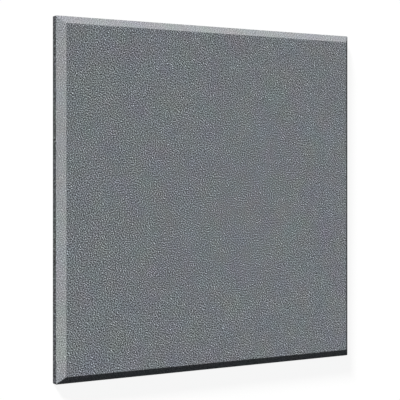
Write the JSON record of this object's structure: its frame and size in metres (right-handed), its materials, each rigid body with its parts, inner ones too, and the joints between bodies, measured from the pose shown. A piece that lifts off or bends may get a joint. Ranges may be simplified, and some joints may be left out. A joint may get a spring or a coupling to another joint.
{
  "type": "acoustic ceiling panel",
  "caption": "Square rigid sound-absorbing ceiling panel with a textile-like grey facing and a 45 degree bevel all round its face.",
  "frame": {"origin": "middle of the panel's flat back", "axes": "+Z out of the face, away from the ceiling when fixed; +X to the panel's right and +Y to its top edge, seen from the front"},
  "size_m": [0.6096, 0.6096, 0.0254],
  "materials": {
    "facing": "matte"
  },
  "bodies": {
    "root": {"panel_board": "facing"}
  },
  "joints": []
}
